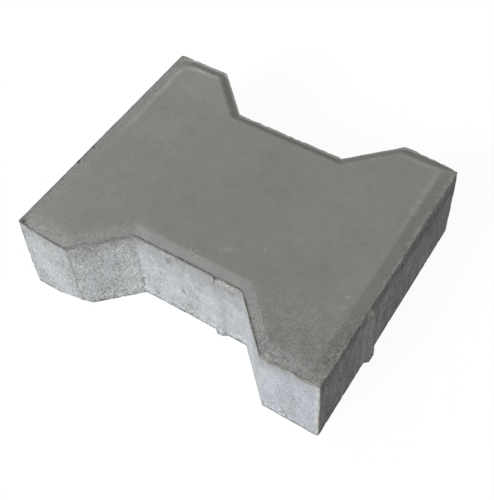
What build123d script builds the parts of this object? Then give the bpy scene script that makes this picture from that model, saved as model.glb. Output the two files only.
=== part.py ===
from build123d import *
import os

# A double-T paving stone: one solid of dry-pressed concrete, in millimetres.
# The origin is the middle of the underside. X runs along the stem from head to head,
# Y runs across the heads, and Z points up to the wearing face.

# Overall size of the stone, without its spacer ribs
stone_length = 200.0
stone_width = 165.0
stone_height = 60.0

# Outline: two heads joined by a waist, with a slanted flank between each head and the waist
head_length = 36.0  # flat side of a head, along X
waist_length = 72.0  # flat wall of the waist, between its two flanks
waist_depth = 27.5  # from the side of the heads in to the waist wall
corner_round = 1.2  # radius that the mould leaves on the upright corners

# Pressed top: the tamper shoe is smaller than the mould, so it leaves a flat land along the rim
rim_land = 1.0
bevel_width = 6.0
bevel_depth = 3.0
crown_round = 5.0  # radius of the wearing face's outer corners

# Spacer ribs: upright bars on the walls that keep the joint to the next stone open
rib_base = 10.0  # width at the wall
rib_face = 6.5  # width of the flat outer face
rib_depth = 2.5  # how far the face stands out from the wall
rib_drop = 3.0  # from the rim down to the rib's upper end
rib_taper = 6.0  # height over which the upper end slopes back to the wall
rib_root = 1.0  # how far the rib reaches into the wall
end_rib_offset = 25.0  # from the stem's axis to the rib on an end wall
waist_rib_offset = 19.0  # from the middle of the waist to the rib on its wall

rim_height = stone_height - bevel_depth
rib_height = rim_height - rib_drop
end_wall = stone_length / 2
head_side = stone_width / 2
shoulder = end_wall - head_length
waist_wall = head_side - waist_depth

# The mould's outline: one side is drawn, and the other is its mirror image
with BuildSketch() as mould_outline:
    with BuildLine():
        front = Polyline(
            (-end_wall, -head_side),
            (-shoulder, -head_side),
            (-waist_length / 2, -waist_wall),
            (waist_length / 2, -waist_wall),
            (shoulder, -head_side),
            (end_wall, -head_side),
        )
        back = mirror(front, about=Plane.XZ)
        Line(front @ 0, back @ 0)
        Line(front @ 1, back @ 1)
    make_face()


def shoe_outline(height, inset, outer_round):
    """The tamper shoe's outline at a height: the mould's, drawn in, with its outer corners rounded."""
    with BuildSketch(Plane.XY.offset(height)) as outline:
        add(mould_outline.sketch)
        offset(amount=-inset, kind=Kind.INTERSECTION, mode=Mode.REPLACE)
        rows = outline.vertices().group_by(Axis.Y)
        fillet(rows[0] + rows[-1], outer_round)
    return outline.sketch


# One spacer rib, standing on the wall plane x = 0 and facing +X
with BuildPart() as rib:
    with BuildSketch():
        with BuildLine():
            Polyline(
                (-rib_root, rib_base / 2),
                (0, rib_base / 2),
                (rib_depth, rib_face / 2),
                (rib_depth, -rib_face / 2),
                (0, -rib_base / 2),
                (-rib_root, -rib_base / 2),
                close=True,
            )
        make_face()
    extrude(amount=rib_height)
    outer_face = rib.faces().sort_by(Axis.X)[-1]
    upper_edge = outer_face.edges().sort_by(Axis.Z)[-1]
    chamfer(upper_edge, length=rib_taper, length2=rib_depth, reference=outer_face)

with BuildPart() as paving_stone:
    # Walls, as high as the rim
    extrude(mould_outline.sketch, amount=rim_height)
    fillet(paving_stone.edges().filter_by(Axis.Z), corner_round)
    # Crown that the tamper shoe presses: a bevel all round, up to the flat wearing face
    foot = shoe_outline(rim_height, rim_land, crown_round + bevel_width)
    face = shoe_outline(stone_height, rim_land + bevel_width, crown_round)
    loft(sections=[foot, face], ruled=True)
    # Ribs on one end wall and one waist wall, and again half a turn round the stone
    with PolarLocations(0, 2):
        with Locations(
            Location((end_wall, -end_rib_offset, 0)),
            Location((waist_rib_offset, -waist_wall, 0), (0, 0, -90)),
        ):
            add(rib.part)

paving_stone.part.label = "paving_stone"
os.makedirs("parts", exist_ok=True)
export_step(paving_stone.part, "parts/paving_stone.step")
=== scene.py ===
import math

import bpy
import numpy as np
from mathutils import Matrix, Vector
from mathutils.geometry import delaunay_2d_cdt


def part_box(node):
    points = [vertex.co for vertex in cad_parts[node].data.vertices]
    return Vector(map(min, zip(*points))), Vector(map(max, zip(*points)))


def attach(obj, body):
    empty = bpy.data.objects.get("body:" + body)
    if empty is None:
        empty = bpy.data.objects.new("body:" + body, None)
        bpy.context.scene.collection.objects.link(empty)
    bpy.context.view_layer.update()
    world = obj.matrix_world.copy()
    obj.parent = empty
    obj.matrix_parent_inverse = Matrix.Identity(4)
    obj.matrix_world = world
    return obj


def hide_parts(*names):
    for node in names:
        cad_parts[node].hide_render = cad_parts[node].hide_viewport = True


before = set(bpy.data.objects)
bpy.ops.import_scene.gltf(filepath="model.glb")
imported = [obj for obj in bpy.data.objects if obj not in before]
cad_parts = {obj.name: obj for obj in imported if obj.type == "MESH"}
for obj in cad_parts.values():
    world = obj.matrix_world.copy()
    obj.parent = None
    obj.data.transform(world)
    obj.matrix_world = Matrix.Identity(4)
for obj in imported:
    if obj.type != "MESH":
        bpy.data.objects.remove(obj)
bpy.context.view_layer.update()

mm = 0.001

# The stone: one piece of dry-pressed concrete, tamped in a steel mould and stripped at once.
# A fine, dark grey face mix makes the smooth top. The walls are the pale, open core mix.
# Ribs on the walls space it from the next stone.

_, stone_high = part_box("paving_stone")
rib_depth = 2.5 * mm
stone_height = stone_high.z
end_wall = stone_high.x - rib_depth
head_side = stone_high.y
head_length = 36 * mm
waist_half = 36 * mm
waist_depth = 27.5 * mm
shoulder = end_wall - head_length
waist_wall = head_side - waist_depth
upright_round = 1.2 * mm

rim_land = 1 * mm
bevel_width = 6 * mm
bevel_depth = 3 * mm
crown_round = 5 * mm
rim_height = stone_height - bevel_depth

rib_base = 10 * mm
rib_taper = 6 * mm
rib_height = rim_height - 3 * mm

# Half of the outline, from the left head's front corner round to the right end wall. The other
# half is the same, half a turn round. Two of its walls have a rib, at a distance from their middle.
# The end's rib is crisp. The waist's is rounded, and worn away towards its upper end.
half_corners = np.array([
    (-end_wall, -head_side),
    (-shoulder, -head_side),
    (-waist_half, -waist_wall),
    (waist_half, -waist_wall),
    (shoulder, -head_side),
    (end_wall, -head_side),
])
rib_places = {2: 19 * mm, 5: -25 * mm}
rib_crests = {2: 3 * mm, 5: 6 * mm}
rib_wear = {2: 0.9, 5: 0.1}


def trace(inset, outer_round, inner_round, spacing, ribs=False):
    """Points along the outline, drawn in by inset: their places, outward directions, rib depths,
    distances to the nearest corner, walls, and how far they are round the corner before their wall."""
    corners = np.vstack([half_corners, -half_corners])
    along = np.roll(corners, -1, 0) - corners
    along /= np.linalg.norm(along, axis=1)[:, None]
    outward = np.stack([along[:, 1], -along[:, 0]], 1)
    places, directions, depths, gaps, walls, turns = [], [], [], [], [], []
    outer_rounds = np.broadcast_to(outer_round, len(corners))
    arcs = []
    for i in range(len(corners)):
        before, after = outward[i - 1], outward[i]
        turn = math.asin(before[0] * after[1] - before[1] * after[0])
        radius = outer_rounds[i] if turn > 0 else -inner_round
        middle = corners[i] - (inset + radius) * (before + after) / (1 + before @ after)
        steps = max(1, math.ceil(abs(radius * turn) / spacing))
        angles = math.atan2(before[1], before[0]) + turn * np.linspace(0, 1, steps + 1)
        fan = np.stack([np.cos(angles), np.sin(angles)], 1)
        if radius == 0:
            fan = ((before + after) / np.linalg.norm(before + after))[None]
        arcs.append((middle + radius * fan, fan))
    for i in range(len(corners)):
        arc, fan = arcs[i]
        places.append(arc)
        directions.append(fan)
        depths.append(np.zeros(len(arc)))
        gaps.append(np.zeros(len(arc)))
        start, end = arc[-1], arcs[(i + 1) % len(corners)][0][0]
        length = np.linalg.norm(end - start)
        marks = [0, length]
        rib = rib_places.get(i % len(half_corners)) if ribs else None
        if rib is not None:
            rib_crest = rib_crests[i % len(half_corners)]
            reach = np.array([-rib_base, -rib_crest, rib_crest, rib_base]) / 2
            marks[1:1] = list(length / 2 + rib + reach)
        stops = [
            np.linspace(a, b, max(1, math.ceil((b - a) / spacing)) + 1)[1:]
            for a, b in zip(marks, marks[1:])
        ]
        stops = np.concatenate(stops)[:-1]
        places.append(start + stops[:, None] * along[i])
        directions.append(np.repeat(outward[i][None], len(stops), 0))
        gaps.append(np.minimum(stops, length - stops))
        walls.append(np.full(len(arc) + len(stops), i))
        turns.append(np.linspace(0, 1, len(arc)) if len(arc) > 1 else np.array([0.5]))
        turns.append(np.ones(len(stops)))
        if rib is None:
            depths.append(np.zeros(len(stops)))
        else:
            off = abs(stops - length / 2 - rib)
            slope = np.clip((rib_base / 2 - off) / ((rib_base - rib_crest) / 2), 0, 1)
            rounded = slope * slope * (3 - 2 * slope) if rib_crest < rib_base / 2 else slope
            depths.append(rib_depth * rounded)
    return (
        np.vstack(places), np.vstack(directions), np.concatenate(depths),
        np.concatenate(gaps), np.concatenate(walls), np.concatenate(turns),
    )


def inside(points, loop, margin):
    """Which points lie inside a closed loop, at least a margin from it."""
    a, b = loop, np.roll(loop, -1, 0)
    x, y = points[:, 0, None], points[:, 1, None]
    crosses = (a[:, 1] > y) != (b[:, 1] > y)
    with np.errstate(divide="ignore", invalid="ignore"):
        left = x < a[:, 0] + (y - a[:, 1]) * (b[:, 0] - a[:, 0]) / (b[:, 1] - a[:, 1])
    within = (crosses & left).sum(1) % 2 == 1
    near = np.sqrt(((points[:, None] - loop[None]) ** 2).sum(2)).min(1)
    return within & (near > margin)


def lattice(loop, spacing):
    """Points of a triangular lattice inside a loop."""
    low, high = loop.min(0), loop.max(0)
    rows = np.arange(low[1], high[1], spacing * math.sqrt(3) / 2)
    points = [
        (x, y)
        for k, y in enumerate(rows)
        for x in np.arange(low[0] + spacing * (k % 2) / 2, high[0], spacing)
    ]
    points = np.array(points)
    clear = spacing * 0.7
    batches = 12
    chosen = [inside(part, loop, clear) for part in np.array_split(points, batches)]
    return points[np.concatenate(chosen)]


def cover(loop, inner):
    """Triangles that fill a loop, through the inner points."""
    points = np.vstack([loop, inner])
    only_inside = 1
    merge_gap = 1e-7
    border = [list(range(len(loop)))]
    made = delaunay_2d_cdt([Vector(p) for p in points], [], border, only_inside, merge_gap)
    assert len(made[0]) == len(points), (len(made[0]), len(points))
    order = [origin[0] for origin in made[3]]
    return np.array([[order[v] for v in face] for face in made[2]])


# Walls: columns along the outline and rows up to the rim, closer together at both ends
column_spacing = 0.85 * mm
places, directions, depths, gaps, walls, _ = trace(0, upright_round, upright_round, column_spacing, ribs=True)
edge_rows = np.array([0, 0.35, 0.8, 1.4, 2.1]) * mm
middle_count = 63
middle_rows = np.linspace(edge_rows[-1], rim_height - edge_rows[-1], middle_count)[1:-1]
rows = np.concatenate([edge_rows, middle_rows, rim_height - edge_rows[::-1]])
columns = len(places)
wear = np.array([rib_wear.get(wall % len(half_corners), 0) for wall in walls])
proud = depths * (1 - wear * (0.2 + 0.8 * np.sqrt(rows[:, None] / rib_height)))
proud = np.minimum(proud, rib_depth * np.clip((rib_height - rows[:, None]) / rib_taper, 0, 1))
proud = np.maximum(proud, 0)
wall_plan = places + proud[:, :, None] * directions
wall_points = np.dstack([wall_plan, np.repeat(rows[:, None], columns, 1)]).reshape(-1, 3)
row, column = np.meshgrid(np.arange(len(rows) - 1), np.arange(columns), indexing="ij")
beside = (column + 1) % columns
wall_faces = np.stack([
    row * columns + column,
    row * columns + beside,
    (row + 1) * columns + beside,
    (row + 1) * columns + column,
], 2).reshape(-1, 4)

# Pressed top: rings over the land, up the bevel and just onto the wearing face, then a lattice. The shoe
# wasn't quite the mould's shape, so the bevel is narrow along the waist and wide at the ends, its back left
# corner is rounder than the others, and its back right one is sharp.
pressed_widths = np.array([6.3, 5.4, 5.2, 5.4, 6.3, 6.7, 6.3, 5, 5.2, 5, 6.3, 7.2]) * mm
back_right, back_left = 6, 11
sharp_round, full_round = 2 * mm, 7 * mm
arris_rounds = np.full(len(pressed_widths), crown_round)
arris_rounds[back_left] = full_round
arris_rounds[back_right] = sharp_round
foot_rounds = arris_rounds + bevel_width
foot_rounds[back_right] = sharp_round
foot_rings = rim_land * np.array([0.35, 0.7, 1])
bevel_rings = rim_land + bevel_width * np.array([0.12, 0.28, 0.45, 0.62, 0.78, 0.9, 1])
face_rings = rim_land + bevel_width + np.array([0.5, 1.1, 1.8]) * mm
ring_spacing = 1 * mm
face_spacing = 1.5 * mm
top_plan, top_insets, top_walls, bevel_widths = [], [], [], []
for inset in [*foot_rings, *bevel_rings, *face_rings]:
    down = min(1, max(0, rim_land + bevel_width - inset) / bevel_width)
    ring_rounds = arris_rounds + (foot_rounds - arris_rounds) * down
    if inset < rim_land:
        ring_rounds = ring_rounds / 2
    ring, _, _, _, ring_walls, ring_turns = trace(inset, ring_rounds, 0, ring_spacing)
    top_plan.append(ring)
    top_insets.append(np.full(len(ring), inset))
    top_walls.append(ring_walls)
    width_before, width_after = pressed_widths[ring_walls - 1], pressed_widths[ring_walls]
    bevel_widths.append(width_before * (1 - ring_turns) + width_after * ring_turns)
inner = lattice(ring, face_spacing)
ends = np.roll(places, -1, 0) - places
from_start = inner[:, None] - places[None]
foot = np.clip((from_start * ends).sum(2) / (ends ** 2).sum(1), 0, 1)
to_rim = np.linalg.norm(from_start - foot[:, :, None] * ends, axis=2)
inner_walls = walls[to_rim.argmin(1)]
top_plan = np.vstack([*top_plan, inner])
top_insets = np.concatenate([*top_insets, to_rim.min(1)])
top_walls = np.concatenate([*top_walls, inner_walls])
bevel_widths = np.concatenate([*bevel_widths, pressed_widths[inner_walls]])
top_faces = cover(places, top_plan)

# The bevel's upper edge is rounded, and towards the left head's front it is worn to a long, soft curve
from_arris = top_insets - rim_land - bevel_widths
bevel_part = 1 + from_arris / bevel_widths
worn_start, worn_run = 58 * mm, 26 * mm
worn_back, worn_fade = 45 * mm, 30 * mm
worn_head = np.clip((-top_plan[:, 0] - worn_start) / worn_run, 0, 1)
worn_head = worn_head * np.clip((worn_back - top_plan[:, 1]) / worn_fade, 0, 1)
rounding = 0.2 + 0.8 * worn_head
climb = np.minimum(bevel_part, 1) - np.clip(rounding - abs(bevel_part - 1), 0, None) ** 2 / (4 * rounding)
top_heights = rim_height + bevel_depth * np.clip(climb, 0, 1)

# Underside: one ring close to the edge, then a coarser lattice
bed_margin = 1.5 * mm
bed_ring_spacing = 1.5 * mm
bed_spacing = 3 * mm
bed_ring = trace(bed_margin, upright_round, 0, bed_ring_spacing)[0]
bed_inner = lattice(bed_ring, bed_spacing)
bed_plan = np.vstack([bed_ring, bed_inner])
bed_faces = cover(wall_plan[0], bed_plan)[:, ::-1]

# The three are one closed skin: the top shares the walls' last row, and the underside their first.
# A point that an edge's wear never reaches counts as far off it.
far_off = 20 * mm
points = np.vstack([
    wall_points,
    np.column_stack([top_plan, top_heights]),
    np.column_stack([bed_plan, np.zeros(len(bed_plan))]),
])
rim_start = (len(rows) - 1) * columns
top_faces = np.where(top_faces < columns, top_faces + rim_start, top_faces - columns + len(wall_points))
bed_faces = np.where(bed_faces < columns, bed_faces, bed_faces - columns + len(wall_points) + len(top_plan))
from_rim = np.concatenate([
    np.repeat(rows - rim_height, columns),
    top_insets,
    np.where(np.arange(len(bed_plan)) < len(bed_ring), -rim_height - bed_margin, -rim_height - far_off),
])
flat_count = len(top_plan) + len(bed_plan)
from_corner = np.concatenate([np.tile(gaps, len(rows)), np.full(flat_count, far_off)])

skin = bpy.data.meshes.new("paving_stone_skin")
skin.from_pydata(points.tolist(), [], [*wall_faces.tolist(), *top_faces.tolist(), *bed_faces.tolist()])
skin.shade_smooth()

# How each wall came out, round from the left head's front: how pale its concrete is, with painted light on
# some walls, how open, how much dirt and painted shade darken it, how much flash stands on its rim and how
# much of the rim is broken away, how much painted light and shade its land (mixed with dirt) and its bevel
# get, and how much the bevel's upper edge is rubbed. The left front flank's colour is written well paler than
# the others: painted light, to look as in the photograph under this scene's lamp.
wall_own_and_painted_light_tones = np.array([0.98, 1.39, 1.02, 1.08, 1, 1.07, 0.95, 1, 1, 1, 0.95, 0.95])
wall_opens = np.array([0.1, 0.4, -0.15, -0.12, -0.42, 0.3, 0.2, 0.1, 0.1, 0, 0.2, 0.1])
wall_soils_and_painted_shade = np.array([0, 0, 0, 0, 0, 1, 0.6, 0.4, 0.4, 0.4, 0.6, 0.8])
flash_shares = np.array([0.4, 0.6, 0.7, 0.6, 0.4, 0.9, 1, 0.3, 1, 1, 1, 0.3])
rim_wears = np.array([0, 0, 0, 0, 0, 0.8, 0, 0, 0, 0, 0, 0])
land_dirt_and_painted_light_tones = np.array([0.93, 0.95, 0.95, 0.93, 1, 1.05, 1, 0.98, 0.97, 0.98, 1.07, 0.97])
bevel_painted_light_tones = np.array([0.99, 1.05, 1.06, 1.05, 1, 0.96, 1.12, 1.08, 1.14, 1.06, 1.01, 1])
rub_shares = np.array([0, 0, 0, 0, 0, 0.35, 0.45, 0.1, 0, 0, 1, 0.7])


def by_wall(shares, others):
    """A value for every point of the skin: by wall, the lower one at a corner, others on the underside."""
    lower = np.where(gaps > 0, shares[walls], np.minimum(shares[walls], shares[walls - 1]))
    evened = (np.roll(lower, 1) + lower + np.roll(lower, -1)) / 3
    return np.concatenate([np.tile(evened, len(rows)), shares[top_walls], np.full(len(bed_plan), others)])


off_walls, off_bed = np.full(len(wall_points), -far_off), np.full(len(bed_plan), -far_off)
arris_gaps = np.concatenate([off_walls, from_arris, off_bed])
# Painted light: the side of a rib where the wall steps out is written paler and with less of the painted
# shade than the rest, with a soft edge a few columns wide
full_step = 0.3 * rib_depth
rising = np.clip((np.roll(proud, -1, 1) - np.roll(proud, 1, 1)) / full_step, 0, 1)
rising = np.mean([np.roll(rising, shift, 1) for shift in range(-5, 4)], 0)
rib_painted_light_sides = np.concatenate([rising.ravel(), np.zeros(flat_count)])
for name, values in (
    ("from_rim", from_rim),
    ("from_corner", from_corner),
    ("wall_tone", by_wall(wall_own_and_painted_light_tones, 1)),
    ("wall_open", by_wall(wall_opens, 0)),
    ("soil", by_wall(wall_soils_and_painted_shade, 0.5)),
    ("flash", by_wall(flash_shares, 0)),
    ("land_tone", by_wall(land_dirt_and_painted_light_tones, 1)),
    ("bevel_tone", by_wall(bevel_painted_light_tones, 1)),
    ("rub", by_wall(rub_shares, 0)),
    ("rim_wear", by_wall(rim_wears, 0)),
    ("rib_side", rib_painted_light_sides),
    ("from_arris", arris_gaps),
):
    skin.attributes.new(name, "FLOAT", "POINT").data.foreach_set("value", values.astype(np.float32))

# Unrolled map of the skin: the top and the underside as they lie, the walls in four strips
sheet = 430 * mm
strip_gap = 6 * mm
girth = np.concatenate([[0], np.cumsum(np.linalg.norm(np.diff(places, axis=0), axis=1))])
girth = np.append(girth, girth[-1] + np.linalg.norm(places[-1] - places[0]))
strips = 4
strip_of = column * strips // columns
strip_start = girth[np.array([np.flatnonzero(strip_of[0] == k)[0] for k in range(strips)])]
wide = 2 * end_wall + 2 * strip_gap
tall = stone_height + strip_gap
across = [girth[column], girth[column + 1], girth[column + 1], girth[column]]
upward = [rows[row], rows[row], rows[row + 1], rows[row + 1]]
wall_map = np.stack([
    np.stack(across, 2) - strip_start[strip_of][:, :, None] + wide,
    np.stack(upward, 2) + (strip_of * tall)[:, :, None] + strip_gap,
], 3).reshape(-1, 2)
top_map = points[top_faces.ravel(), :2] + (end_wall + strip_gap, head_side + strip_gap)
bed_map = points[bed_faces.ravel(), :2] + (end_wall + strip_gap, 3 * head_side + 2 * strip_gap)
layer = skin.uv_layers.new(name="OFBake")
layer.uv.foreach_set("vector", (np.vstack([wall_map, top_map, bed_map]) / sheet).astype(np.float32).ravel())


class Wire:
    """A node's output. Sums and products of wires add Math nodes to their tree."""

    def __init__(self, tree, socket=None):
        self.tree = tree
        self.socket = socket

    def node(self, kind, settings=None, inputs=None, output=0):
        """Adds a node, sets its settings, then feeds its inputs, and gives one of its outputs."""
        made = self.tree.nodes.new(kind)
        for name, value in (settings or {}).items():
            setattr(made, name, value)
        for name, value in (inputs or {}).items():
            if isinstance(value, Wire):
                self.tree.links.new(value.socket, made.inputs[name])
            else:
                made.inputs[name].default_value = value
        return Wire(self.tree, made.outputs[output])

    def math(self, operation, *values):
        return self.node("ShaderNodeMath", {"operation": operation}, dict(enumerate(values)))

    def __add__(self, other):
        return self.math("ADD", self, other)

    def __sub__(self, other):
        return self.math("SUBTRACT", self, other)

    def __rsub__(self, other):
        return self.math("SUBTRACT", other, self)

    def __mul__(self, other):
        return self.math("MULTIPLY", self, other)

    def __truediv__(self, other):
        return self.math("DIVIDE", self, other)

    def __rtruediv__(self, other):
        return self.math("DIVIDE", other, self)

    def __abs__(self):
        return self.math("ABSOLUTE", self)

    __radd__ = __add__
    __rmul__ = __mul__

    def ramp(self, low, high):
        """0 where the value is low, 1 where it is high, and smooth between."""
        return self.node(
            "ShaderNodeMapRange",
            {"interpolation_type": "SMOOTHSTEP"},
            {"Value": self, "From Min": low, "From Max": high},
        )

    def grain(self, size, detail=2, seed=0, stretch=(1, 1, 1)):
        """Noise from about 0 to 1 whose lumps have this size, read at a place."""
        place = self
        if seed or stretch != (1, 1, 1):
            shift = (seed, seed, seed)
            place = self.node("ShaderNodeVectorMath", {"operation": "MULTIPLY"}, {0: self, 1: stretch})
            place = place.node("ShaderNodeVectorMath", {"operation": "ADD"}, {0: place, 1: shift})
        return place.node(
            "ShaderNodeTexNoise", {}, {"Vector": place, "Scale": 1 / size, "Detail": detail, "Roughness": 0.6}
        )

    def specks(self, spacing, radius, share, seed=0):
        """Round specks at random places: 1 in a speck's middle, 0 outside. A share of the cells has one."""
        place = self.node("ShaderNodeVectorMath", {"operation": "ADD"}, {0: self, 1: (seed, seed, seed)})
        near = place.node("ShaderNodeTexVoronoi", {}, {"Vector": place, "Scale": 1 / spacing})
        draw = near.node("ShaderNodeSeparateXYZ", {}, {0: Wire(self.tree, near.socket.node.outputs["Color"])})
        size = Wire(self.tree, draw.socket.node.outputs["Y"])
        reach = (size * 0.7 + 0.5) * (radius / spacing)
        chosen = draw.math("LESS_THAN", draw, share)
        return (1 - near / reach).ramp(0, 1) * chosen


# Relief: lumps and grains of the mix, open pores, a ragged flash where the fresh concrete rose between
# the tamper shoe and the mould, worn edges, a flake knocked off one foot, and two corners where the heads
# came out a little narrow. Apart from the flash, all of it lies inside the mould's shape. Stripping the
# mould draws it out upright.
relief = bpy.data.node_groups.new("pressed concrete relief", "GeometryNodeTree")
relief.is_modifier = True
relief_sizes = {
    "Swell size": 28 * mm,
    "Swell depth": 0.2 * mm,
    "Grain size": 1.6 * mm,
    "Grain depth": 0.2 * mm,
    "Pore spacing": 4.4 * mm,
    "Pore radius": 0.8 * mm,
    "Pore depth": 0.6 * mm,
    "Flash height": 1 * mm,
    "Lip depth": 0.35 * mm,
    "Edge bite": 1 * mm,
    "Face grain depth": 0.07 * mm,
    "Flake roughness": 1.4 * mm,
    "Foot flake reach": 24 * mm,
    "Far flake reach": 120 * mm,
    "Left flake reach": 75 * mm,
    "Seed": 3.0,
}
foot_flake_depth = 3 * mm
far_wedge_depth = 2.4 * mm
left_wedge_depth = 2.3 * mm
foot_facing = Vector((0.161, -0.861, -0.482)).normalized()
far_facing = Vector((0.083, 0.995, 0.052)).normalized()
left_facing = Vector((-0.08, -0.995, 0.055)).normalized()
relief_places = {
    "Foot flake facing": foot_facing,
    "Foot flake place": Vector((-shoulder, -head_side, 0)) - foot_flake_depth * foot_facing,
    "Far flake facing": far_facing,
    "Far flake place": Vector((end_wall, head_side, rim_height)) - far_wedge_depth * far_facing,
    "Left flake facing": left_facing,
    "Left flake place": Vector((-end_wall, -head_side, rim_height)) - left_wedge_depth * left_facing,
    "Worn rim place": Vector(((end_wall + shoulder) / 2, -head_side, rim_height)),
    "Smooth waist place": Vector((31 * mm, -waist_wall, 27 * mm)),
}
relief.interface.new_socket("Geometry", in_out="OUTPUT", socket_type="NodeSocketGeometry")
relief.interface.new_socket("Geometry", in_out="INPUT", socket_type="NodeSocketGeometry")
relief_ids = {}
for values, kind in ((relief_sizes, "NodeSocketFloat"), (relief_places, "NodeSocketVector")):
    for name in values:
        relief_ids[name] = relief.interface.new_socket(name, in_out="INPUT", socket_type=kind).identifier
finish_id = relief.interface.new_socket("Finish", in_out="INPUT", socket_type="NodeSocketMaterial").identifier
given = relief.nodes.new("NodeGroupInput")
size_of = {name: Wire(relief, given.outputs[name]) for name in relief_ids}
start = Wire(relief)
drawn = start.node("GeometryNodeInputPosition")
strip_drag = (1, 1, 0.5)
spot = drawn.node("ShaderNodeVectorMath", {"operation": "MULTIPLY"}, {0: drawn, 1: strip_drag})
spot = drawn.node("ShaderNodeVectorMath", {"operation": "ADD"}, {0: spot, 1: size_of["Seed"]})
rim_gap, corner_gap, flash_share, wall_open, rim_wear = [
    start.node("GeometryNodeInputNamedAttribute", {"data_type": "FLOAT"}, {"Name": name})
    for name in ("from_rim", "from_corner", "flash", "wall_open", "rim_wear")
]


def lumps(size, detail, seed):
    """Noise from about 0 to 1 with lumps of a size, another one for each seed."""
    moved = spot.node("ShaderNodeVectorMath", {"operation": "ADD"}, {0: spot, 1: (seed, seed, seed)})
    return moved.node("ShaderNodeTexNoise", {}, {"Vector": moved, "Scale": 1 / size, "Detail": detail})


def away(name):
    """The way from a named place, and how far."""
    way = drawn.node("ShaderNodeVectorMath", {"operation": "SUBTRACT"}, {0: drawn, 1: size_of[name]})
    return way, way.node("ShaderNodeVectorMath", {"operation": "LENGTH"}, {0: way}, output="Value")


on_wall = rim_gap.ramp(-0.1 * mm, -0.6 * mm) * rim_gap.ramp(-rim_height - 0.5 * mm, -rim_height)
on_top = rim_gap.ramp(0.5 * mm, 1 * mm)
near_rim = abs(rim_gap).ramp(1.8 * mm, 0)
near_foot = abs(rim_gap + rim_height).ramp(2.2 * mm, 0)
near_corner = corner_gap.ramp(1.8 * mm, 0) * on_wall

swell = lumps(size_of["Swell size"], 1, 0) * size_of["Swell depth"]
smooth = away("Smooth waist place")[1].ramp(26 * mm, 12 * mm)
open_mix = (lumps(15 * mm, 3, 7) - 0.3 * wall_open + 0.3 * smooth).ramp(0.58, 0.42)
grains = lumps(size_of["Grain size"], 3, 1) * size_of["Grain depth"] * (0.35 + 0.65 * open_mix)
cell = spot.node("ShaderNodeTexVoronoi", {}, {"Vector": spot, "Scale": 1 / size_of["Pore spacing"]})
draw = cell.node("ShaderNodeSeparateXYZ", {}, {0: Wire(relief, cell.socket.node.outputs["Color"])})
draw_size = Wire(relief, draw.socket.node.outputs["Y"])
reach = (draw_size * 0.8 + 0.4) * size_of["Pore radius"] / size_of["Pore spacing"]
pore = (1 - cell / reach).ramp(0, 0.7) * draw.math("LESS_THAN", draw, 0.1 + 0.45 * open_mix) * on_wall
lip = rim_gap.ramp(-0.5 * mm, -1.3 * mm) * rim_gap.ramp(-7 * mm, -2.5 * mm) * size_of["Lip depth"]
lip = lip * lumps(14 * mm, 2, 5).ramp(0.3, 0.6)
ragged = lumps(4 * mm, 3, 3)
worn = away("Worn rim place")[1].ramp(26 * mm, 12 * mm)
bites = ragged.ramp(0.55, 0.8) * near_foot + ragged.ramp(0.5, 0.75) * 0.8 * near_corner
bites = bites + ragged.ramp(0.4, 0.7) * near_rim * worn
bites = bites + lumps(11 * mm, 4, 8).ramp(0.42, 0.68) * near_rim * rim_wear

worn_in = swell + (grains + pore * size_of["Pore depth"] + lip) * on_wall
worn_in = worn_in + lumps(1.6 * mm, 2, 4) * size_of["Face grain depth"] * on_top
worn_in = worn_in + bites * size_of["Edge bite"]
normal = start.node("GeometryNodeInputNormal")
offset = normal.node("ShaderNodeVectorMath", {"operation": "SCALE"}, {0: normal, "Scale": 0 - worn_in})
flash = rim_gap.ramp(-0.3 * mm, 0) * rim_gap.ramp(0.7 * mm, 0.4 * mm) * (1 - worn) * flash_share
flash = flash * (0.2 + 0.8 * lumps(5 * mm, 3, 6).ramp(0.3, 0.65)) * size_of["Flash height"]
flash = flash.node("ShaderNodeCombineXYZ", {}, {"Z": flash})
offset = offset.node("ShaderNodeVectorMath", {"operation": "ADD"}, {0: offset, 1: flash})
for name in ("Foot flake", "Far flake", "Left flake"):
    way, far = away(name + " place")
    facing = size_of[name + " facing"]
    reach = size_of[name + " reach"]
    beyond = way.node(
        "ShaderNodeVectorMath", {"operation": "DOT_PRODUCT"}, {0: way, 1: facing}, output="Value"
    )
    uneven = (ragged - 0.5) * size_of["Flake roughness"] * beyond.ramp(0, 1 * mm)
    depth = far.math("MAXIMUM", beyond + uneven, 0.0)
    depth = depth * far.ramp(reach, reach * 0.7)
    push = facing.node("ShaderNodeVectorMath", {"operation": "SCALE"}, {0: facing, "Scale": 0 - depth})
    offset = offset.node("ShaderNodeVectorMath", {"operation": "ADD"}, {0: offset, 1: push})
shape = start.node(
    "GeometryNodeSetPosition", {}, {"Geometry": Wire(relief, given.outputs["Geometry"]), "Offset": offset}
)
for name, value in (("pore", pore), ("open_mix", open_mix), ("worn", worn)):
    shape = start.node(
        "GeometryNodeStoreNamedAttribute",
        {"data_type": "FLOAT", "domain": "POINT"},
        {"Geometry": shape, "Name": name, "Value": value},
    )
shape = start.node("GeometryNodeRealizeInstances", {}, {"Geometry": shape})
shape = start.node(
    "GeometryNodeSetMaterial", {}, {"Geometry": shape, "Material": Wire(relief, given.outputs["Finish"])}
)
relief.links.new(shape.socket, relief.nodes.new("NodeGroupOutput").inputs["Geometry"])
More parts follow.
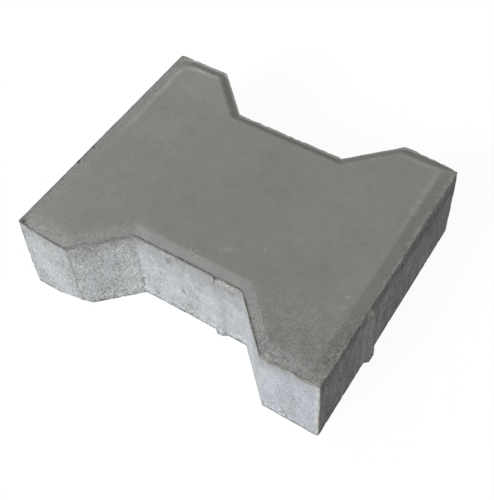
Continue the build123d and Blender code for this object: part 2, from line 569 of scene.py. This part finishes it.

# Finish: dark, close face mix on the top, pale concrete on the walls that is smooth in some places and
# open in others, dirt along the rim, dirt and painted shade in streaks and blotches on the walls that face
# away from the lamp, painted light and shade by wall, and a few scuffs
concrete = bpy.data.materials.new("pressed_concrete")
concrete.use_nodes = True
shader = concrete.node_tree.nodes["Principled BSDF"]
start = Wire(concrete.node_tree)
place = start.node("ShaderNodeTexCoord", output="Object")
rim_gap, arris_gap, pore, tone, soil, open_mix, worn, rim_wear, land_tone, bevel_tone, rub, rib_side = [
    start.node("ShaderNodeAttribute", {"attribute_name": name}, output="Fac")
    for name in (
        "from_rim", "from_arris", "pore", "wall_tone", "soil", "open_mix", "worn", "rim_wear", "land_tone",
        "bevel_tone", "rub", "rib_side",
    )
]
drag = place.node("ShaderNodeVectorMath", {"operation": "MULTIPLY"}, {0: place, 1: strip_drag})
axes = place.node("ShaderNodeSeparateXYZ", {}, {0: place})
along, crosswise = [Wire(concrete.node_tree, axes.socket.node.outputs[name]) for name in ("X", "Y")]


def blend(factor, first, second):
    """From one colour to another."""
    return factor.node(
        "ShaderNodeMix", {"data_type": "RGBA"}, {"Factor": factor, 6: first, 7: second}, output=2
    )


def shade(colour, factor):
    """A colour made lighter or darker."""
    return factor.node("ShaderNodeVectorMath", {"operation": "SCALE"}, {0: colour, "Scale": factor})


def near(point, radius, stretch=(1, 1, 1)):
    """1 close to a point of the stone, 0 beyond a radius, with a ragged edge."""
    way = place.node("ShaderNodeVectorMath", {"operation": "SUBTRACT"}, {0: place, 1: point})
    way = way.node("ShaderNodeVectorMath", {"operation": "MULTIPLY"}, {0: way, 1: stretch})
    far = way.node("ShaderNodeVectorMath", {"operation": "LENGTH"}, {0: way}, output="Value")
    return (far + (place.grain(1.5 * mm, 2, 20) - 0.5) * min(radius, 3 * mm)).ramp(radius, radius * 0.4)


face_grey = (0.215, 0.2155, 0.2045)
open_grey = (0.445, 0.456, 0.456, 1)
paste_grey = (0.485, 0.503, 0.515, 1)
violet_grey = (0.475, 0.482, 0.52, 1)
pit_grey = (0.19, 0.193, 0.19, 1)
soil_and_shade_grey = (0.265, 0.266, 0.256, 1)
dark_soil_and_shade = (0.125, 0.126, 0.12, 1)
worn_stain = (0.165, 0.157, 0.146, 1)
worn_brown = (0.295, 0.283, 0.27, 1)
rim_stain = (0.225, 0.215, 0.2, 1)
pale_sand = (0.52, 0.51, 0.475, 1)
sandy_rim = (0.39, 0.38, 0.345, 1)
crumb_grey = (0.66, 0.64, 0.6, 1)

# Walls
open_more = 0.5 + 0.5 * open_mix
# Painted light on the side of a rib where the wall steps out: paler, and with less of the painted shade
rib_painted_light_share = soil * rib_side
soil = soil - 0.8 * rib_painted_light_share
wall = blend(place.grain(18 * mm, 2, 25).ramp(0.4, 0.6) * 0.45, paste_grey, violet_grey)
wall = blend(open_mix, wall, open_grey)
wall = shade(wall, 0.78 + 0.44 * place.grain(12 * mm, 2, 2))
sand = start.node("ShaderNodeTexVoronoi", {}, {"Vector": drag, "Scale": 1 / (0.8 * mm)}, output="Color")
sand = sand.node("ShaderNodeSeparateXYZ", {}, {0: sand})
wall = shade(wall, 1 + (0.46 * sand - 0.23) * open_more)
wall = shade(wall, 1 + (1.4 * drag.grain(0.9 * mm, 3, 3) - 0.7) * open_more)
foot_band = rim_gap + (place.grain(10 * mm, 3, 30) - 0.5) * (14 * mm)
foot_band = foot_band.ramp(15 * mm - rim_height, 2 * mm - rim_height)
pits = drag.specks(1.9 * mm, 0.6 * mm, 0.12 + 0.5 * open_mix + 0.4 * foot_band, 4)
wall = blend(0.9 * pits, wall, pit_grey)
streaks = place.grain(3 * mm, 3, 14, stretch=(1, 1, 0.08))
wall = shade(wall, 1 + (0.2 * streaks - 0.1) * (1 + soil))
# The soil share is dirt and painted shade: the right end most, then the back walls and the left end, are
# darkened in streaks, in a blotchy band below the rim and in grime
dirt_and_shade_streaks = place.grain(6 * mm, 4, 27, stretch=(1, 1, 0.35)).ramp(0.38, 0.62)
wall = blend(soil * (0.1 + 0.5 * dirt_and_shade_streaks), wall, soil_and_shade_grey)
# The wall's tone holds painted light on some walls, most on the left front flank; pores are darker
wall = shade(wall, (1 - 0.6 * pore) * tone)
wall = shade(wall, 1 + 0.6 * rib_painted_light_share)
uneven = rim_gap + (place.grain(3 * mm, 3, 5) - 0.5) * (3 * mm)
at_waist = abs(along).ramp(44 * mm, 30 * mm)
run_down = (rim_gap + (place.grain(9 * mm, 3, 37) - 0.5) * (18 * mm)).ramp(-26 * mm, -12 * mm)
stained = uneven.ramp(-14 * mm, -3 * mm) * (0.31 - 0.07 * at_waist) + run_down * (0.08 + 0.15 * at_waist)
stained = stained + uneven.ramp(-3 * mm, -0.4 * mm) * (0.15 + 0.06 * at_waist)
wall = blend(stained * (1 - rim_wear), wall, rim_stain)
far_half = crosswise.ramp(-30 * mm, 40 * mm)
from_band = rim_gap + far_half * (4.5 * mm) + 5.5 * mm + (place.grain(7 * mm, 4, 26) - 0.5) * (26 * mm)
blotches_and_rim_shade = abs(from_band).ramp(8 * mm, 0.5 * mm)
grime_and_shade = drag.grain(2 * mm, 4, 32, stretch=(1, 1, 0.6)).ramp(0.48, 0.62)
wall = blend(soil * (0.42 * blotches_and_rim_shade + 0.25 * grime_and_shade), wall, dark_soil_and_shade)
near_part = soil * crosswise.ramp(-30 * mm, -66 * mm)
wall = shade(wall, 1 + (place.grain(2.2 * mm, 3, 39) - 0.5) * 1.1 * near_part)
foot_grit = foot_band * place.grain(1.9 * mm, 4, 33).ramp(0.48, 0.62)
# Darker in broken stretches along the foot: painted contact shadow, with dirt
foot_shadow_and_dirt = rim_gap.ramp(2.8 * mm - rim_height, 0.3 * mm - rim_height)
foot_shadow_and_dirt = foot_shadow_and_dirt * place.grain(3 * mm, 3, 38).ramp(0.25, 0.6)
wall = shade(wall, 1 + 0.13 * foot_band - 0.5 * foot_grit - 0.5 * foot_shadow_and_dirt)
# Darker just at the rim where it is broken away, on the right end: painted shade under the rim
wall = shade(wall, 1 - 0.5 * rim_wear * rim_gap.ramp(-0.4 * mm, 0.4 * mm))
sandy = near((25 * mm, -waist_wall, rim_height - 3 * mm), 16 * mm, stretch=(1, 1, 1.8))
wall = blend(sandy * place.grain(3 * mm, 4, 31).ramp(0.3, 0.6) * 0.7, wall, sandy_rim)
wall = shade(wall, 1 - 0.5 * sandy * place.grain(1.4 * mm, 3, 35).ramp(0.52, 0.62))
crumbs = near((27 * mm, -waist_wall, rim_height - 2 * mm), 10 * mm, stretch=(1, 1, 2.5))
crumbs = crumbs + near((-12.5 * mm, -waist_wall, rim_height - 1.5 * mm), 6 * mm, stretch=(1, 1, 2.2))
corner_crumbs = near((end_wall, -head_side, 28 * mm), 10 * mm, stretch=(2.4, 5, 0.26))
wall = blend(corner_crumbs * place.grain(2.4 * mm, 3, 34).ramp(0.36, 0.5) * 0.9, wall, crumb_grey)
wall = blend(crumbs * place.grain(1.6 * mm, 3, 21).ramp(0.5, 0.58) * 0.8, wall, crumb_grey)
# Painted highlight with crumbs: a pale spot at the top end of the right end's rib
rib_top_highlight_and_crumb = near((end_wall + 0.7 * mm, -29.4 * mm, 52.4 * mm), 3 * mm, stretch=(1, 1, 0.7))
wall = blend(0.6 * rib_top_highlight_and_crumb, wall, crumb_grey)
cool_tint = (1, 1.02, 1.045, 1)
cool = near(((end_wall + shoulder) / 2, -head_side, 28 * mm), 27 * mm, stretch=(1, 1, 0.7)) * (1 - soil)
wall = cool.node(
    "ShaderNodeMix",
    {"data_type": "RGBA", "blend_type": "MULTIPLY"},
    {"Factor": cool, 6: wall, 7: cool_tint},
    output=2,
)
# Spots and patches darken the wall by a share, and a share below zero is a pale place
for patch, patch_radius, patch_share in (
    ((18.4 * mm, -waist_wall, rim_height - 1 * mm), 2 * mm, 0.7),
    ((-13 * mm, -waist_wall, 49 * mm), 2.6 * mm, 0.3),
    ((-6 * mm, -waist_wall, 24 * mm), 2 * mm, 0.3),
    ((-27 * mm, -waist_wall, 9 * mm), 2.6 * mm, 0.2),
    ((-72 * mm, -head_side, 34 * mm), 27 * mm, -0.1),
    ((-56 * mm, -74.5 * mm, 34 * mm), 24 * mm, 0.11),
    ((93 * mm, -head_side, 12 * mm), 26 * mm, 0.07),
    ((18.4 * mm, -waist_wall, 47 * mm), 5 * mm, 0.14),
    ((30 * mm, -waist_wall, 28 * mm), 20 * mm, 0.04),
):
    wall = shade(wall, 1 - patch_share * near(patch, patch_radius, stretch=(1, 1, 0.6)))

# Top
# Painted light: the top is written lighter towards the left head, more so near the front and back
painted_light_left = along.ramp(10 * mm, -90 * mm)
tips = abs(crosswise).ramp(40 * mm, 72 * mm)
near_head = near(((end_wall + shoulder) / 2, -head_side, rim_height), 60 * mm)
clouds = 0.18 * place.grain(22 * mm, 3, 6) + 0.17 * place.grain(6 * mm, 3, 7)
clouds = clouds + 0.22 * place.grain(1.3 * mm, 3, 8)
face = shade(face_grey, 0.635 + clouds + painted_light_left * (0.09 + 0.06 * tips))
pale_specks = 0.2 * place.specks(9 * mm, 0.9 * mm, 0.12, 9)
pale_specks = pale_specks + near_head * 0.09 * place.specks(4 * mm, 1.6 * mm, 0.3, 28)
face = blend(pale_specks, face, pale_sand)
face = shade(face, 1 - 0.3 * place.specks(6 * mm, 0.7 * mm, 0.15, 10))
scuffs = near((87 * mm, -31 * mm, stone_height), 2 * mm)
scuffs = scuffs + 0.5 * near((88 * mm, -38 * mm, stone_height), 2.5 * mm)
scuffs = scuffs + 0.5 * near((33.6 * mm, -27 * mm, stone_height), 1.6 * mm)
scuffs = scuffs + 0.9 * near((99 * mm, -10.9 * mm, rim_height), 1.8 * mm)
scuffs = scuffs + 0.9 * near((91.2 * mm, 46.1 * mm, stone_height - 1 * mm), 2 * mm)
for step in (-1, 0, 1):
    scuffs = scuffs + 0.6 * near(((14.6 + 2.3 * step) * mm, (-38 + 1.7 * step) * mm, stone_height), 1.8 * mm)
rough = near((1 * mm, -48 * mm, stone_height - 1 * mm), 7 * mm, stretch=(1, 2, 1))
face = blend(0.16 * scuffs + 0.2 * rough * place.grain(1.2 * mm, 2, 22).ramp(0.5, 0.6), face, pale_sand)
face = shade(face, 1 - 0.35 * rough * place.grain(1.2 * mm, 2, 23).ramp(0.52, 0.62))
arris = abs(arris_gap - 1.6 * mm).ramp(2.8 * mm, 0.4 * mm)
rubbed = rub * crosswise.ramp(-10 * mm, 40 * mm) * place.grain(6 * mm, 4, 11).ramp(0.3, 0.6)
face = shade(face, 1 + (0.02 + 0.36 * rubbed) * arris)
edge_grit = rim_gap.ramp(12 * mm, 3 * mm) * (0.6 + 1.2 * painted_light_left + 0.9 * near_head)
edge_grit = edge_grit + 0.7 * painted_light_left + 1.6 * near_head
face = shade(face, 1 + (place.grain(1.3 * mm, 3, 24) - 0.5) * 0.6 * edge_grit)
face = shade(face, 1 + (place.grain(8 * mm, 4, 36) - 0.5) * 0.35 * near_head)
# Painted light and shade: the bevel is written lighter or darker by wall, to match how the lamp falls on it
face = shade(face, 1 + arris_gap.ramp(0.5 * mm, -0.5 * mm) * (bevel_tone - 1))
# The land is written darker or paler by wall, mixed with dirt: painted shade behind the flash on the front
# walls, painted light on the right end
land = (rim_gap + (place.grain(3 * mm, 3, 29) - 0.5) * (2 * mm + rim_wear * (3 * mm))).ramp(2.2 * mm, 1 * mm)
dirt = place.grain(5 * mm, 4, 15).ramp(0.42, 0.62)
face = shade(face, 1 + land * (land_tone - 1) * (0.2 + 3 * dirt))
# A pale, broken line on the land of the right end's far half: painted highlight on the flash's top, with a
# broken edge
broken_edge_and_highlight = rim_gap - 1.8 * mm + (place.grain(4 * mm, 3, 41) - 0.5) * (2 * mm)
broken_edge_and_highlight = abs(broken_edge_and_highlight).ramp(1.3 * mm, 0.3 * mm) * place.grain(4 * mm, 3, 42).ramp(0.4, 0.55)
face = shade(face, 1 + 0.32 * rim_wear * far_half * broken_edge_and_highlight)
face = shade(face, 1 - 0.5 * rim_wear * far_half * rim_gap.ramp(1.2 * mm, 0.1 * mm) * (0.6 + 0.6 * dirt))
for dark_spot, spot_radius in (
    ((-97.2 * mm, -78.6 * mm, rim_height), 1.3 * mm),
    ((-99 * mm, -27 * mm, rim_height), 1.4 * mm),
    ((-99 * mm, -13 * mm, rim_height), 1.4 * mm),
):
    face = shade(face, 1 - 0.6 * near(dark_spot, spot_radius))

# Where the face mix meets the walls: a ragged edge, browned and stained where the rim is worn, and a dark
# broken line of painted shade along the rim
edge = rim_gap + (place.grain(5 * mm, 4, 12) - 0.5) * (2 * mm + rim_wear * (5 * mm) + worn * (16 * mm))
teeth = (place.grain(1.8 * mm, 2, 40) - 0.5) * rim_wear
on_top = edge + worn * (3.2 * mm) + (teeth * 3.5 - rim_wear * 0.4) * mm
on_top = on_top.ramp(-0.25 * mm - rim_wear * (0.6 * mm), 0.15 * mm + rim_wear * (0.6 * mm))
face = blend(worn * edge.ramp(2.5 * mm, 0.8 * mm) * dirt * 0.2, face, worn_stain)
face = blend(worn * edge.ramp(0.2 * mm, -1.6 * mm) * 0.9, face, worn_brown)
colour = blend(on_top, wall, face)
# A dark, broken line along the rim of the lit walls: painted shade of the flash
rim_shade_line = rim_gap + 0.5 * mm + (place.grain(2.6 * mm, 3, 43) - 0.5) * (5 * mm)
rim_shade_line = abs(rim_shade_line).ramp(1.1 * mm, 0.2 * mm) * place.grain(8 * mm, 3, 44).ramp(0.35, 0.55)
colour = shade(colour, 1 - 0.3 * rim_shade_line * (1 - soil) * (1 - worn))
concrete.node_tree.links.new(colour.socket, shader.inputs["Base Color"])
shader.inputs["Roughness"].default_value = 0.95
shader.inputs["Specular IOR Level"].default_value = 0.08
texture = place.grain(0.9 * mm, 3, 13) * (open_more - on_top * 0.65 * open_more)
bump = start.node(
    "ShaderNodeBump", {}, {"Height": texture, "Distance": 0.5 * mm, "Strength": 0.45}, output="Normal"
)
concrete.node_tree.links.new(bump.socket, shader.inputs["Normal"])

# The skin takes its relief and finish, and stands for the stone in the frame
blank = bpy.data.objects.new("paving_stone_blank", skin)
bpy.context.scene.collection.objects.link(blank)
worn_skin = blank.modifiers.new("relief", "NODES")
worn_skin.node_group = relief
for name, value in {**relief_sizes, **relief_places}.items():
    worn_skin[relief_ids[name]] = value
worn_skin[finish_id] = concrete
bpy.context.view_layer.update()
stone_mesh = bpy.data.meshes.new_from_object(blank.evaluated_get(bpy.context.evaluated_depsgraph_get()))
stone = bpy.data.objects.new("concrete_stone", stone_mesh)
bpy.context.scene.collection.objects.link(stone)
bpy.data.objects.remove(blank)
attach(stone, "root")
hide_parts("paving_stone")

# Floor: a pale sheet that the stone lies on. It looks white to the camera and keeps a soft shadow.
floor_mesh = bpy.data.meshes.new("floor")
floor_half = 3.0
floor_mesh.from_pydata(
    [(x * floor_half, y * floor_half, 0) for x, y in ((-1, -1), (1, -1), (1, 1), (-1, 1))], [], [(0, 1, 2, 3)]
)
floor = bpy.data.objects.new("floor", floor_mesh)
bpy.context.scene.collection.objects.link(floor)
paper = bpy.data.materials.new("floor_paper")
paper.use_nodes = True
floor_mesh.materials.append(paper)
paper.node_tree.nodes.clear()
start = Wire(paper.node_tree)


def seen(start):
    """1 for what the camera sees, also in a reflection or through glass."""
    rays = start.node("ShaderNodeLightPath", output="Is Camera Ray")
    glossy, through = [
        Wire(rays.tree, rays.socket.node.outputs[name])
        for name in ("Is Glossy Ray", "Is Transmission Ray")
    ]
    return rays.math("MAXIMUM", rays.math("MAXIMUM", rays, glossy), through)


shadow_share = 0.06
matt = start.node("ShaderNodeBsdfDiffuse", {}, {"Color": (shadow_share, shadow_share, shadow_share, 1)})
glow = start.node("ShaderNodeEmission", {}, {"Strength": seen(start) * (1 - shadow_share)})
both = start.node("ShaderNodeAddShader", {}, {0: matt, 1: glow})
paper_output = paper.node_tree.nodes.new("ShaderNodeOutputMaterial")
paper.node_tree.links.new(both.socket, paper_output.inputs["Surface"])

# Light: a soft key from the front left, about 33 degrees up, and an even sky
key = bpy.data.lights.new("key", "SUN")
key.energy = 3.1
key.color = (0.97, 1, 1.03)
key.angle = math.radians(18)
key_way = Vector((-0.24, -0.8, 0.55))
key_light = bpy.data.objects.new("key", key)
bpy.context.scene.collection.objects.link(key_light)
key_light.rotation_mode = "QUATERNION"
key_light.rotation_quaternion = key_way.to_track_quat("Z", "Y")

sky = bpy.data.worlds.new("sky")
bpy.context.scene.world = sky
sky.use_nodes = True
sky_light = 0.5
start = Wire(sky.node_tree)
sky_strength = seen(start) * (1 - sky_light) + sky_light
backdrop = sky.node_tree.nodes["Background"]
sky_warmth = Vector((1.03, 1, 0.97))
sky_colour = start.node("ShaderNodeMix", {"data_type": "RGBA"}, {
    "Factor": seen(start), 6: (*sky_warmth, 1), 7: (1, 1, 1, 1),
}, output=2)
sky.node_tree.links.new(sky_colour.socket, backdrop.inputs["Color"])
sky.node_tree.links.new(sky_strength.socket, backdrop.inputs["Strength"])
bpy.context.scene.view_settings.view_transform = "Standard"

# Camera: at the photograph's viewing angle, from the front right and above, slightly rolled
azimuth, elevation, roll = math.radians(34.743), math.radians(51.872), math.radians(-3.183)
aim = Vector((5.26, 7.6, 30)) * mm
distance = 528.8 * mm
back = Vector((
    math.sin(azimuth) * math.cos(elevation),
    -math.cos(azimuth) * math.cos(elevation),
    math.sin(elevation),
))
level = Vector((math.cos(azimuth), math.sin(azimuth), 0))
upright = back.cross(level)
right = math.cos(roll) * level + math.sin(roll) * upright
up = math.cos(roll) * upright - math.sin(roll) * level
camera = bpy.data.objects.new("camera", bpy.data.cameras.new("camera"))
bpy.context.scene.collection.objects.link(camera)
camera.data.sensor_width = 36
camera.data.lens = 62.85
camera.data.shift_x, camera.data.shift_y = -0.02, -0.06
camera_turn = Matrix((right, up, back)).transposed().to_4x4()
camera.matrix_world = Matrix.Translation(aim + distance * back) @ camera_turn
camera.data.clip_start, camera.data.clip_end = 0.01, 20
bpy.context.scene.camera = camera
